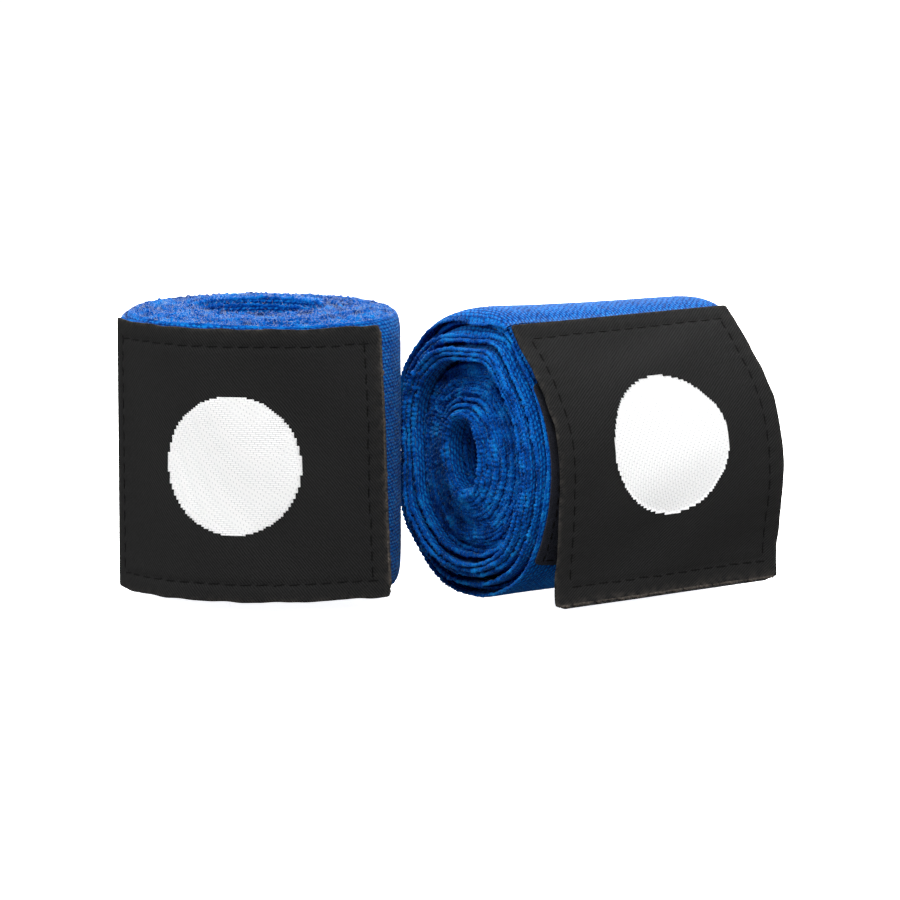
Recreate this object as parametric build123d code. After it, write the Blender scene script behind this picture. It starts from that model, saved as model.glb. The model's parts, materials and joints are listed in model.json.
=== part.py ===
from build123d import *
import math
import os

# A pair of rolled boxing hand wraps. Each wrap is one long woven band wound on itself, with a
# thumb loop at its inner end and a closure tab (a label backed with hook tape) at its outer end.
# The tab grips a patch of loop tape sewn to the band one turn further in. The first wrap stands
# on end and the second lies on its side next to it, its tab partly lifted.

# Band and roll
BAND_WIDTH = 50.0
BAND_LENGTH = 2550.0
BAND_THICK = 0.55
PITCH = 0.77  # distance from one turn to the next
ROLL_RADIUS = 25.0  # outside of the turn that carries the loop tape

# Closure tab
LABEL_LENGTH = 58.5
LABEL_WIDTH = 49.0
LABEL_THICK = 0.4
HOOK_THICK = 0.5
HOOK_MARGIN = 2.0  # the hook tape stops this short of the label's edges
TAPE_GAP = 0.15  # between the hooks and the loops, so that the tab can lift
SEWN_EDGE = 195.0  # degrees round the roll, where the label starts
HEM_LENGTH = 11.0  # the band's folded end, sewn under the label
HEM_GAP = 0.3  # free band at the bend line
CLOSED_WRAP = 102.0  # degrees that the pressed-down tab follows the roll before it runs straight

# The second wrap's tab rests half lifted: hem on the roll, a wider curve, then straight down
LIFTED_HEM = 20.0
LIFTED_SWEEP = 57.0
LIFTED_RADIUS = 29.0

# Loop tape on the band
LOOP_TAPE_THICK = 0.5
LOOP_TAPE_LENGTH = 41.0
LOOP_TAPE_WIDTH = 46.0
HEM_CLEARANCE = 2.0  # degrees between the hem and the loop tape

# Thumb loop, flattened and wound into the core
THUMB_WIDTH = 14.0
THUMB_THICK = 0.45
THUMB_SLIT = 0.06
THUMB_PITCH = 1.05
THUMB_HALF_TURNS = 6
THUMB_GAP = 0.25  # from the loop to the band's innermost turn, which the bar tacks cross

# Thread
STITCH_LENGTH = 2.1
STITCH_PITCH = 3.0
STITCH_WIDTH = 0.35
STITCH_HEIGHT = 0.12
SUNK_STITCH_HEIGHT = 0.08  # between the loops, clear of the hooks
STITCH_INSET = 3.2
TAPE_INSET = 1.5
BAR_PITCH = 1.0
BAR_LENGTH = 1.0

# Plain round badge woven on the label
BADGE_DIAMETER = 25.0
BADGE_THICK = 0.12

# The second wrap, lying on its side
LYING_YAW = 35.0  # degrees from the row's long direction to its axis
LYING_END = (39.9, -15.6)  # its near end's centre, from the standing wrap's axis
LYING_TURN = 268.0  # turns the wrap about its own axis, so that the tab comes over the top

BAND_MIDDLE = ROLL_RADIUS - BAND_THICK / 2
LOOP_OUTSIDE = ROLL_RADIUS + LOOP_TAPE_THICK
HOOK_INSIDE = LOOP_OUTSIDE + TAPE_GAP
LABEL_INSIDE = HOOK_INSIDE + HOOK_THICK
LABEL_OUTSIDE = LABEL_INSIDE + LABEL_THICK


class Strip:
    """The line that a strip of cloth follows round the roll, as runs of (length, radius)."""

    def __init__(self, start, heading, runs):
        self.start = start
        self.heading = heading
        self.runs = runs
        self.length = sum(length for length, _ in runs)

    def step(self, start, heading, run, travelled):
        """Place and heading after going `travelled` along one run; radius 0 is straight."""
        radius = run[1]
        if radius == 0:
            ahead = Vector(math.cos(heading), math.sin(heading))
            return start + ahead * travelled, heading
        left = Vector(-math.sin(heading), math.cos(heading))
        turned = heading + travelled / radius
        right = Vector(math.sin(turned), -math.cos(turned))
        return start + left * radius + right * radius, turned

    def place(self, distance, out=0.0):
        """Point `out` from the line on its outer side, and the heading there."""
        start = self.start
        heading = self.heading
        for run in self.runs[:-1]:
            if distance <= run[0]:
                break
            start, heading = self.step(start, heading, run, run[0])
            distance -= run[0]
        else:
            run = self.runs[-1]
        point, turned = self.step(start, heading, run, distance)
        right = Vector(math.sin(turned), -math.cos(turned))
        return point + right * out, turned

    def cut(self, first, last):
        """The stretch of this line from one distance to another."""
        start, heading = self.place(first)
        runs = []
        passed = 0.0
        for length, radius in self.runs:
            low = max(first, passed)
            high = min(last, passed + length)
            if high > low:
                runs.append((high - low, radius))
            passed += length
        return Strip(start, heading, runs)

    def side(self, out):
        """The line moved `out` to its outer side, as a list of edges."""
        edges = []
        passed = 0.0
        start, _ = self.place(0, out)
        for length, radius in self.runs:
            middle, _ = self.place(passed + length / 2, out)
            passed += length
            end, _ = self.place(passed, out)
            edges.append(ThreePointArc(start, middle, end) if radius else Line(start, end))
            start = end
        return edges

    def ribbon(self, inner, outer, width, base):
        """A solid strip between two offsets from the line, `width` tall from z = base."""
        outside = self.side(outer)
        inside = self.side(inner)
        start_cap = Line(outside[0] @ 0, inside[0] @ 0)
        end_cap = Line(outside[-1] @ 1, inside[-1] @ 1)
        face = make_face([*outside, *inside, start_cap, end_cap])
        return Pos(0, 0, base) * extrude(face, amount=width)


def round_the_roll(radius, angle, runs):
    """A strip line that starts at `angle` degrees on a circle about the roll's axis."""
    turn = math.radians(angle)
    return Strip(Vector(radius * math.cos(turn), radius * math.sin(turn)), turn + math.pi / 2, runs)


def coil(runs, end, heading):
    """A strip line with these runs, placed so that it ends at one point with one heading."""
    free = Strip(Vector(0, 0), 0.0, runs)
    last, turned = free.place(free.length)
    spin = heading - turned
    return Strip(end - last.rotate(Axis.Z, math.degrees(spin)), spin, runs)


def half_turns(first_radius, pitch, count):
    """Runs of a spiral made of half circles, each wider than the one before."""
    radii = [first_radius + pitch / 2 * number for number in range(count)]
    return [(math.pi * radius, radius) for radius in radii]


def stitch_row(strip, out, height, first, last, level):
    """Dashes of thread along the strip line, at one level of its width."""
    count = round((last - first) / STITCH_PITCH)
    spacing = (last - first) / count
    dashes = []
    for number in range(count):
        middle = first + spacing * (number + 0.5)
        point, heading = strip.place(middle, out + height / 2)
        dash = Box(STITCH_LENGTH, height, STITCH_WIDTH)
        dashes.append(Pos(point.X, point.Y, level) * Rot(0, 0, math.degrees(heading)) * dash)
    return dashes


def stitch_column(strip, out, height, distance, low, high):
    """Dashes of thread across the strip's width, at one distance along it."""
    count = round((high - low) / STITCH_PITCH)
    spacing = (high - low) / count
    point, heading = strip.place(distance, out + height / 2)
    dashes = []
    for number in range(1, count):
        dash = Box(STITCH_WIDTH, height, STITCH_LENGTH)
        level = low + spacing * number
        dashes.append(Pos(point.X, point.Y, level) * Rot(0, 0, math.degrees(heading)) * dash)
    return dashes


def stitched_frame(strip, out, height, inset, low, high):
    """One row of stitching round all four sides of a patch."""
    first = inset
    last = strip.length - inset
    dashes = stitch_row(strip, out, height, first, last, low + inset)
    dashes += stitch_row(strip, out, height, first, last, high - inset)
    dashes += stitch_column(strip, out, height, first, low + inset, high - inset)
    dashes += stitch_column(strip, out, height, last, low + inset, high - inset)
    return Compound(dashes)


def band_line():
    """The whole wound band, from the core to the bend line where the tab starts."""
    outer = BAND_MIDDLE + PITCH
    under_tab = math.radians(SEWN_EDGE - 180) * outer
    length = HEM_LENGTH + under_tab
    radius = outer - PITCH / 2
    count = 0
    while length + math.pi * radius < BAND_LENGTH:
        length += math.pi * radius
        radius -= PITCH / 2
        count += 1
    runs = half_turns(radius + PITCH / 2, PITCH, count)
    runs.append((under_tab - HEM_GAP, outer))
    turn = math.radians(SEWN_EDGE) - HEM_GAP / outer
    end = Vector(math.cos(turn), math.sin(turn)) * outer
    return coil(runs, end, turn + math.pi / 2)


def tab_line(lifted):
    """The inner face of the label, from its sewn edge to its free end."""
    if lifted:
        hem = math.radians(LIFTED_HEM) * LABEL_INSIDE
        curve = math.radians(LIFTED_SWEEP) * LIFTED_RADIUS
        runs = [(hem, LABEL_INSIDE), (curve, LIFTED_RADIUS), (LABEL_LENGTH - hem - curve, 0)]
    else:
        curve = math.radians(CLOSED_WRAP) * LABEL_INSIDE
        runs = [(curve, LABEL_INSIDE), (LABEL_LENGTH - curve, 0)]
    return round_the_roll(LABEL_INSIDE, SEWN_EDGE, runs)


def badge(tab, base):
    """A thin round patch on the outside of the label, curved with it."""
    middle = tab.length / 2
    reach = BADGE_DIAMETER / 2 + 1
    patch = tab.cut(middle - reach, middle + reach)
    shell = patch.ribbon(LABEL_THICK, LABEL_THICK + BADGE_THICK, LABEL_WIDTH, base)
    point, heading = tab.place(middle)
    outward = Vector(math.sin(heading), -math.cos(heading))
    centre = Vector(point.X, point.Y, BAND_WIDTH / 2)
    punch = Plane(origin=centre, z_dir=outward) * Cylinder(BADGE_DIAMETER / 2, BADGE_DIAMETER)
    return shell & punch


def thumb_loop(band):
    """A narrow tape loop pressed flat and wound into the core, and the bar tacks that hold it."""
    core = band.runs[0][1]
    half = THUMB_THICK + THUMB_SLIT / 2
    last = core - BAND_THICK / 2 - THUMB_GAP - half
    first = last - THUMB_PITCH / 2 * (THUMB_HALF_TURNS - 1)
    end, heading = band.place(0, last - core)
    line = coil(half_turns(first, THUMB_PITCH, THUMB_HALF_TURNS), end, heading)
    base = (BAND_WIDTH - THUMB_WIDTH) / 2
    loop = line.ribbon(-half, half, THUMB_WIDTH, base)
    slit = line.cut(THUMB_THICK, line.length - THUMB_THICK)
    loop -= slit.ribbon(-THUMB_SLIT / 2, THUMB_SLIT / 2, THUMB_WIDTH, base)
    point, heading = line.place(line.length - BAR_LENGTH, half + THUMB_GAP / 2)
    bars = []
    for number in range(1, int(THUMB_WIDTH / BAR_PITCH)):
        bar = Box(BAR_LENGTH, THUMB_GAP * 0.9, STITCH_WIDTH)
        level = base + BAR_PITCH * number
        bars.append(Pos(point.X, point.Y, level) * Rot(0, 0, math.degrees(heading)) * bar)
    return loop, Compound(bars)


def wrap(lifted):
    """One hand wrap standing on end about the Z axis, as a dictionary of its pieces."""
    label_base = (BAND_WIDTH - LABEL_WIDTH) / 2
    tape_base = (BAND_WIDTH - LOOP_TAPE_WIDTH) / 2
    band = band_line()
    tab = tab_line(lifted)
    tape_start = SEWN_EDGE + math.degrees(HEM_LENGTH / BAND_MIDDLE) + HEM_CLEARANCE
    tape = round_the_roll(ROLL_RADIUS, tape_start, [(LOOP_TAPE_LENGTH, ROLL_RADIUS)])
    hem_inside = BAND_MIDDLE + PITCH - BAND_THICK / 2 - LABEL_INSIDE
    pieces = {}
    pieces["band"] = band.ribbon(-BAND_THICK / 2, BAND_THICK / 2, BAND_WIDTH, 0)
    pieces["band_end"] = tab.cut(0, HEM_LENGTH).ribbon(hem_inside, 0, BAND_WIDTH, 0)
    pieces["thumb_loop"], pieces["thumb_loop_bartack"] = thumb_loop(band)
    pieces["loop_tape"] = tape.ribbon(0, LOOP_TAPE_THICK, LOOP_TAPE_WIDTH, tape_base)
    pieces["loop_tape_stitching"] = stitched_frame(
        tape, LOOP_TAPE_THICK, SUNK_STITCH_HEIGHT, TAPE_INSET, tape_base, tape_base + LOOP_TAPE_WIDTH
    )
    pieces["label"] = tab.ribbon(0, LABEL_THICK, LABEL_WIDTH, label_base)
    pieces["hook_tape"] = tab.cut(HEM_LENGTH + 0.5, LABEL_LENGTH - HOOK_MARGIN).ribbon(
        -HOOK_THICK, 0, LABEL_WIDTH - 2 * HOOK_MARGIN, label_base + HOOK_MARGIN
    )
    pieces["label_stitching"] = stitched_frame(
        tab, LABEL_THICK, STITCH_HEIGHT, STITCH_INSET, label_base, label_base + LABEL_WIDTH
    )
    pieces["badge"] = badge(tab, label_base)
    return pieces


def bend_line(place):
    """A point on the tab's bend line, on the label's outer face at its sewn edge."""
    turn = math.radians(SEWN_EDGE)
    reach = LABEL_OUTSIDE
    return place * Pos(reach * math.cos(turn), reach * math.sin(turn), BAND_WIDTH / 2)


yaw = math.radians(LYING_YAW)
axis = Vector(math.cos(yaw), math.sin(yaw), 0)
across = Vector(math.sin(yaw), -math.cos(yaw), 0)
turn = math.radians(LYING_TURN)
lying_x = across * math.cos(turn) + Vector(0, 0, 1) * math.sin(turn)
lying = Plane(origin=(*LYING_END, ROLL_RADIUS), x_dir=lying_x, z_dir=axis).location
standing = Location((0, 0, 0))

solids = {}
for name, piece in wrap(False).items():
    solids["left_" + name] = standing * piece
for name, piece in wrap(True).items():
    solids["right_" + name] = lying * piece

box = Compound(list(solids.values())).bounding_box()
centred = Pos(-(box.min.X + box.max.X) / 2, -(box.min.Y + box.max.Y) / 2, -box.min.Z)

os.makedirs("parts", exist_ok=True)
for name, solid in solids.items():
    export_step(centred * solid, "parts/" + name + ".step")

for side, place in (("left", standing), ("right", lying)):
    hinge = (centred * bend_line(place)).position
    centre = (centred * place).position
    print(side, "bend line", [round(value / 1000, 6) for value in hinge])
    print(side, "end centre", [round(value / 1000, 6) for value in centre])
print("box", box.size, "lowest", box.min.Z)
print("band length", round(band_line().length + HEM_LENGTH, 1), "core", round(band_line().runs[0][1], 2))
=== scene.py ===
import json
import math

import bpy
import numpy as np
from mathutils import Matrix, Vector


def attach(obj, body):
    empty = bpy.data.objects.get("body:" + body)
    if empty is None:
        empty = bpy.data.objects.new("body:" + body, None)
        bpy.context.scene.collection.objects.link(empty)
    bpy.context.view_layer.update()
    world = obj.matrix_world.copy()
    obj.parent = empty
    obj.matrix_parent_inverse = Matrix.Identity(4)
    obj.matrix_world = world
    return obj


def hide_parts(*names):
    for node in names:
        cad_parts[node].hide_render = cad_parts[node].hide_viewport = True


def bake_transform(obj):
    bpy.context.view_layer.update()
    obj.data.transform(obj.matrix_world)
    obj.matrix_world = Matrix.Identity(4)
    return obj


# The looks of a pair of rolled boxing hand wraps. Lengths are in millimetres on the wrap's own
# axes (x towards the label's sewn edge, y the way the label runs, w along the roll) until
# Wrap.world turns them into metres in the row's frame.

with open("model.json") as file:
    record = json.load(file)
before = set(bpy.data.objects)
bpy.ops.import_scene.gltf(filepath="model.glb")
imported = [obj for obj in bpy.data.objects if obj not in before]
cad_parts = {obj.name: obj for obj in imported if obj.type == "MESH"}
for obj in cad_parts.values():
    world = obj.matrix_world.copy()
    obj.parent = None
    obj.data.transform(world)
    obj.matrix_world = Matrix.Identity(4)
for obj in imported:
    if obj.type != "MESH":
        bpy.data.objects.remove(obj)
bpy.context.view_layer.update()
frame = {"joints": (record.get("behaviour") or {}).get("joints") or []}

MM = 0.001

# --- sizes shared with the part
BAND_WIDTH = 50.0
BAND_THICK = 0.55
PITCH = 0.77
ROLL_RADIUS = 25.0
TURNS = 26
LABEL_WIDTH = 49.0
LABEL_THICK = 0.4
LABEL_INSIDE = 26.15
LABEL_OUTSIDE = LABEL_INSIDE + LABEL_THICK
HOOK_THICK = 0.5
HEM_LENGTH = 11.0
HEM_THICK = 0.95
LOOP_TAPE_LENGTH = 41.0
LOOP_TAPE_WIDTH = 46.0
LOOP_TAPE_THICK = 0.5
LOOP_TAPE_START = 27.0  # degrees past the sewn edge
STITCH_INSET = 3.2
STITCH_PITCH = 2.9
STITCH_LENGTH = 2.2
BADGE_RADIUS = 12.5
THUMB_WIDTH = 14.0
THUMB_THICK = 0.45
BAND_MIDDLE = ROLL_RADIUS - BAND_THICK / 2
CORE_RADIUS = BAND_MIDDLE - PITCH * TURNS
GROWTH_START = 15.0  # degrees before the sewn edge where the spiral has finished growing

LABEL_BASE = (BAND_WIDTH - LABEL_WIDTH) / 2
INNER_TURN = -GROWTH_START - 360.0 * TURNS  # the angle where the band starts, at the core

# --- sizes of the looks
HEM_MARGIN = 0.95
HOOK_MARGIN = 1.2
HOOK_SPACING = 1.15
KNOT_PITCH = 0.86
YARN_RADIUS = 0.4
FLARE_REACH = 3.5  # how far each change of the roll's shape reaches in from its end
TAPER_REACH = 20.0
LIP_REACH = 1.5
FAR_LIP_REACH = 1.3
LOWEST_EDGE = 0.32
NEAR_LINT = 1400
# The far ends' hairs carry a painted sheen in a pale colour; the standing wrap's far end is its top, so it
# gets the most.
FAR_LINT = {"left": 7400, "right": 3500}
SIDE_LINT = 1200
SIDE_LINT_START = -215.0  # degrees, the part of the outermost turn that the label leaves bare
FLOOR_LEVEL = -0.0018  # metres, just below the lowest hairs


# --- small tools
def smooth_step(value, low, high):
    t = np.clip((value - low) / (high - low), 0, 1)
    return t * t * (3 - 2 * t)


def round_profile(pairs, spread=7.0):
    """A smooth function of an angle in degrees, from a few (angle, value) pairs round a circle."""
    angles = np.arange(720) / 2
    keys, values = zip(*sorted(pairs))
    table = np.interp(angles, keys, values, period=360)
    distance = np.minimum(angles, 360 - angles)
    kernel = np.exp(-0.5 * (distance / spread) ** 2)
    table = np.real(np.fft.ifft(np.fft.fft(table) * np.fft.fft(kernel / kernel.sum())))
    return lambda angle: np.interp(np.mod(angle, 360), angles, table, period=360)


def wander(seed, length, spacing, size):
    """A smooth random function of a distance: knots `spacing` apart, joined by cosine steps."""
    knots = np.random.default_rng(seed).normal(0, size, int(length / spacing) + 4)

    def value(distance):
        place = np.clip(np.asarray(distance) / spacing, 0, len(knots) - 2.001)
        low = place.astype(int)
        t = (1 - np.cos(np.pi * (place - low))) / 2
        return knots[low] * (1 - t) + knots[low + 1] * t

    return value


def grid_faces(rows, columns, close_rows=False, close_columns=False):
    """Quads of a grid of points numbered row by row."""
    r = np.arange(rows if close_rows else rows - 1)
    c = np.arange(columns if close_columns else columns - 1)
    r, c = np.meshgrid(r, c, indexing="ij")
    r2, c2 = (r + 1) % rows, (c + 1) % columns
    quads = np.stack([r * columns + c, r2 * columns + c, r2 * columns + c2, r * columns + c2], -1)
    return quads.reshape(-1, 4)


def add_mesh(name, points, faces, material, weave=None):
    """A smooth-shaded mesh object from points in metres and a list of face index arrays."""
    mesh = bpy.data.meshes.new(name)
    counts = np.concatenate([np.full(len(f), f.shape[1]) for f in faces])
    corners = np.concatenate([f.ravel() for f in faces])
    mesh.vertices.add(len(points))
    mesh.vertices.foreach_set("co", np.asarray(points, np.float32).ravel())
    mesh.loops.add(len(corners))
    mesh.loops.foreach_set("vertex_index", corners.astype(np.int32))
    mesh.polygons.add(len(counts))
    mesh.polygons.foreach_set("loop_start", (np.cumsum(counts) - counts).astype(np.int32))
    mesh.update(calc_edges=True)
    mesh.validate()
    mesh.shade_smooth()
    if weave is not None:
        attribute = mesh.attributes.new("weave", "FLOAT_VECTOR", "POINT")
        attribute.data.foreach_set("vector", np.asarray(weave, np.float32).ravel())
    obj = bpy.data.objects.new(name, mesh)
    bpy.context.scene.collection.objects.link(obj)
    mesh.materials.append(material)
    return obj


def unit(vectors):
    return vectors / np.maximum(np.linalg.norm(vectors, axis=-1, keepdims=True), 1e-12)


def tubes(centres, sideways, outward, radii, sides):
    """Closed tubes, one per row of centres, with a flat cap on each end."""
    count, rings = centres.shape[:2]
    turn = np.arange(sides) * 2 * math.pi / sides
    ring = (
        sideways[:, :, None] * np.cos(turn)[:, None] + outward[:, :, None] * np.sin(turn)[:, None]
    )
    points = centres[:, :, None] + ring * radii[..., None]
    one = grid_faces(rings, sides, close_columns=True)
    step = rings * sides
    quads = (one[None] + np.arange(count)[:, None, None] * step).reshape(-1, 4)
    start = np.arange(sides)[None] + np.arange(count)[:, None] * step
    end = start[:, ::-1] + (rings - 1) * sides
    return points.reshape(-1, 3), [quads, start, end]


# --- materials
class Nodes:
    """A short way to write a node material."""

    def __init__(self, name):
        self.material = bpy.data.materials.new(name)
        self.material.use_nodes = True
        self.tree = self.material.node_tree
        self.shader = self.tree.nodes["Principled BSDF"]

    def put(self, socket, value):
        if isinstance(value, bpy.types.NodeSocket):
            self.tree.links.new(value, socket)
        else:
            socket.default_value = value

    def math(self, operation, a, b=0.0, c=0.0):
        node = self.tree.nodes.new("ShaderNodeMath")
        node.operation = operation
        for socket, value in zip(node.inputs, (a, b, c)):
            self.put(socket, value)
        return node.outputs[0]

    def attribute(self, name="weave"):
        """The three numbers of a point attribute."""
        node = self.tree.nodes.new("ShaderNodeAttribute")
        node.attribute_name = name
        split = self.tree.nodes.new("ShaderNodeSeparateXYZ")
        self.tree.links.new(node.outputs["Vector"], split.inputs[0])
        return split.outputs

    def noise(self, vector, scale, detail=2.0, roughness=0.5):
        node = self.tree.nodes.new("ShaderNodeTexNoise")
        self.put(node.inputs["Vector"], vector)
        node.inputs["Scale"].default_value = scale
        node.inputs["Detail"].default_value = detail
        node.inputs["Roughness"].default_value = roughness
        return node.outputs["Fac"]

    def place(self):
        return self.tree.nodes.new("ShaderNodeTexCoord").outputs["Object"]

    def ramp(self, value, stops):
        node = self.tree.nodes.new("ShaderNodeValToRGB")
        elements = node.color_ramp.elements
        while len(elements) < len(stops):
            elements.new(0.5)
        for element, (position, colour) in zip(elements, stops):
            element.position = position
            element.color = (*colour, 1)
        self.put(node.inputs[0], value)
        return node.outputs[0]

    def mix(self, factor, a, b, blend="MIX"):
        node = self.tree.nodes.new("ShaderNodeMix")
        node.data_type = "RGBA"
        node.blend_type = blend
        self.put(node.inputs[0], factor)
        for socket, value in ((node.inputs[6], a), (node.inputs[7], b)):
            self.put(socket, value if isinstance(value, bpy.types.NodeSocket) else (*value, 1))
        return node.outputs[2]

    def bump(self, height, distance, strength=1.0):
        node = self.tree.nodes.new("ShaderNodeBump")
        node.inputs["Strength"].default_value = strength
        node.inputs["Distance"].default_value = distance
        self.put(node.inputs["Height"], height)
        self.tree.links.new(node.outputs[0], self.shader.inputs["Normal"])

    def finish(self, colour, roughness, sheen=0.0, sheen_roughness=0.5, tint=(1, 1, 1), specular=0.3):
        self.put(self.shader.inputs["Base Color"], colour)
        self.put(self.shader.inputs["Roughness"], roughness)
        self.shader.inputs["Sheen Weight"].default_value = sheen
        self.shader.inputs["Sheen Roughness"].default_value = sheen_roughness
        self.shader.inputs["Sheen Tint"].default_value = (*tint, 1)
        self.shader.inputs["Specular IOR Level"].default_value = specular
        return self.material


BLUE_DEEP = (0.0008, 0.013, 0.085)
BLUE_MIDDLE = (0.0015, 0.082, 0.41)
BLUE_LIGHT = (0.008, 0.24, 0.64)
SHEEN_PALE = (0.65, 0.98, 0.95)
WARP_PITCH = 0.64
WEFT_PITCH = 1.25


def crepe_cells(n, s, w, warp_pitch, weft_pitch, slant):
    """Height of a plain crepe weave: rows of slanted oval floats, each row half a cell along."""
    row = n.math("DIVIDE", w, warp_pitch)
    shift = n.math("MULTIPLY", n.math("FLOOR", row), 0.5)
    across = n.math("SUBTRACT", n.math("FRACT", row), 0.5)
    along = n.math("ADD", n.math("DIVIDE", s, weft_pitch), shift)
    along = n.math("MULTIPLY_ADD", across, slant, along)
    along = n.math("SUBTRACT", n.math("FRACT", along), 0.5)
    along = n.math("MULTIPLY", along, along)
    across = n.math("MULTIPLY", across, across)
    total = n.math("MULTIPLY_ADD", across, 3.4, n.math("MULTIPLY", along, 3.2))
    return n.math("MAXIMUM", n.math("SUBTRACT", 1.0, total), 0.0)


def band_cloth():
    n = Nodes("band cloth")
    s, w, _ = n.attribute()
    place = n.place()
    wobble = n.math("SUBTRACT", n.noise(place, 700, 3, 0.6), 0.5)
    s = n.math("MULTIPLY_ADD", wobble, 1.8, s)
    w = n.math("MULTIPLY_ADD", wobble, 0.7, w)
    cells = crepe_cells(n, s, w, WARP_PITCH, WEFT_PITCH, 0.34)
    hair = n.noise(place, 5200, 3, 0.7)
    patch = n.noise(place, 260, 3)
    height = n.math("MULTIPLY_ADD", hair, 0.8, cells)
    # The crepe floats are painted lighter and the hollows between them darker: painted shade in the weave,
    # on top of the bump from the same cells.
    tone = n.math("MULTIPLY_ADD", cells, 0.62, 0.2)
    tone = n.math("MULTIPLY_ADD", n.math("SUBTRACT", hair, 0.5), 1.7, tone)
    tone = n.math("MULTIPLY_ADD", n.math("SUBTRACT", patch, 0.5), 0.55, tone)
    colour = n.ramp(tone, [(0.08, BLUE_DEEP), (0.55, BLUE_MIDDLE), (1.0, BLUE_LIGHT)])
    n.bump(height, 0.0002, 0.85)
    return n.finish(colour, 0.8, 0.1, 0.3, SHEEN_PALE, 0.02)


def edge_yarn():
    n = Nodes("band edge yarn")
    place = n.place()
    hair = n.noise(place, 4200, 3, 0.7)
    patch = n.noise(place, 330, 2)
    tone = n.math("MULTIPLY_ADD", n.math("SUBTRACT", patch, 0.5), 1.1, hair)
    colour = n.ramp(tone, [(0.2, BLUE_DEEP), (0.5, BLUE_MIDDLE), (0.85, BLUE_LIGHT)])
    n.bump(hair, 0.00018, 0.9)
    return n.finish(colour, 0.8, 0.2, 0.3, SHEEN_PALE, 0.02)


def fibre_fuzz(name, colour, tint):
    n = Nodes(name)
    patch = n.noise(n.place(), 500, 2)
    shade = n.ramp(patch, [(0.3, tuple(c * 0.6 for c in colour)), (0.75, colour)])
    return n.finish(shade, 0.8, 0.4, 0.4, tint, 0.2)


def twill_cloth():
    n = Nodes("label twill")
    u, w, edge = n.attribute()
    place = n.place()
    slow = n.math("SUBTRACT", n.noise(place, 300, 2), 0.5)
    lean = math.radians(38)
    line = n.math("MULTIPLY_ADD", u, math.cos(lean), n.math("MULTIPLY", w, math.sin(lean)))
    line = n.math("MULTIPLY_ADD", slow, 0.5, line)
    wave = n.math("SINE", n.math("MULTIPLY", line, 2 * math.pi / 0.43))
    cross = n.math("SINE", n.math("MULTIPLY", w, 2 * math.pi / 0.21))
    ribs = n.math("MULTIPLY_ADD", wave, 0.34, n.math("MULTIPLY_ADD", cross, 0.14, 0.5))
    lint = n.noise(place, 3800, 3, 0.65)
    tone = n.math("MULTIPLY_ADD", n.math("SUBTRACT", lint, 0.5), 0.5, ribs)
    colour = n.ramp(tone, [(0.05, (0.005, 0.005, 0.005)), (0.95, (0.022, 0.022, 0.022))])
    worn = n.math("MULTIPLY", edge, n.ramp(n.noise(place, 900, 3), [(0.4, (0, 0, 0)), (0.7, (1, 1, 1))]))
    colour = n.mix(n.math("MULTIPLY", worn, 0.5), colour, (0.075, 0.066, 0.058))
    n.bump(n.math("MULTIPLY_ADD", lint, 0.3, ribs), 0.00007, 0.8)
    return n.finish(colour, 0.85, 0.0, 0.3, (1, 1, 1), 0.09)


def satin_white():
    n = Nodes("badge floats")
    u, w, _ = n.attribute()
    place = n.place()
    step = n.math("MULTIPLY_ADD", n.math("FLOOR", n.math("DIVIDE", w, 0.35)), 0.37, n.math("DIVIDE", u, 1.5))
    notch = n.math("ABSOLUTE", n.math("SUBTRACT", n.math("FRACT", step), 0.5))
    dip = n.math("SMOOTH_MIN", n.math("MULTIPLY", notch, 9.0), 1.0, 0.3)
    shade = n.ramp(dip, [(0.0, (0.55, 0.56, 0.58)), (0.6, (0.86, 0.86, 0.86))])
    n.bump(n.math("MULTIPLY_ADD", n.noise(place, 4000, 2), 0.25, dip), 0.00005, 0.7)
    return n.finish(shade, 0.6, 0.1, 0.4, (1, 1, 1), 0.35)


def thread_black():
    n = Nodes("black thread")
    lint = n.noise(n.place(), 6000, 2)
    colour = n.ramp(lint, [(0.3, (0.002, 0.002, 0.002)), (0.75, (0.009, 0.009, 0.009))])
    n.bump(lint, 0.00004, 0.5)
    return n.finish(colour, 0.7, 0.0, 0.4, (1, 1, 1), 0.08)


def loop_pile():
    n = Nodes("loop pile")
    place = n.place()
    curls = n.noise(place, 2600, 4, 0.75)
    tone = n.math("MULTIPLY_ADD", n.math("SUBTRACT", n.noise(place, 500, 2), 0.5), 0.5, curls)
    stops = [(0.35, (0.002, 0.002, 0.004)), (0.62, (0.008, 0.008, 0.014)), (0.8, (0.03, 0.03, 0.05))]
    colour = n.ramp(tone, stops)
    n.bump(curls, 0.0004, 1.0)
    return n.finish(colour, 0.85, 0.2, 0.5, (0.6, 0.7, 1), 0.25)


def hook_nylon():
    n = Nodes("hook nylon")
    u, w, _ = n.attribute()
    along = n.math("SINE", n.math("MULTIPLY", u, 9.0))
    across = n.math("SINE", n.math("MULTIPLY", w, 9.0))
    grid = n.math("MULTIPLY", along, across)
    tone = n.math("MULTIPLY_ADD", grid, 0.25, n.noise(n.place(), 1500, 2))
    colour = n.ramp(tone, [(0.25, (0.006, 0.006, 0.007)), (0.8, (0.028, 0.028, 0.03))])
    n.bump(grid, 0.0001, 0.6)
    return n.finish(colour, 0.45, 0.0, 0.5, (1, 1, 1), 0.5)


def cut_edge():
    n = Nodes("singed cut edge")
    speck = n.noise(n.place(), 2400, 3, 0.7)
    stops = [(0.35, (0.02, 0.017, 0.015)), (0.6, (0.07, 0.058, 0.048)), (0.8, (0.19, 0.16, 0.14))]
    colour = n.ramp(speck, stops)
    n.bump(speck, 0.0002, 1.0)
    return n.finish(colour, 0.85, 0.1, 0.5, (1, 1, 1), 0.2)


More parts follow.
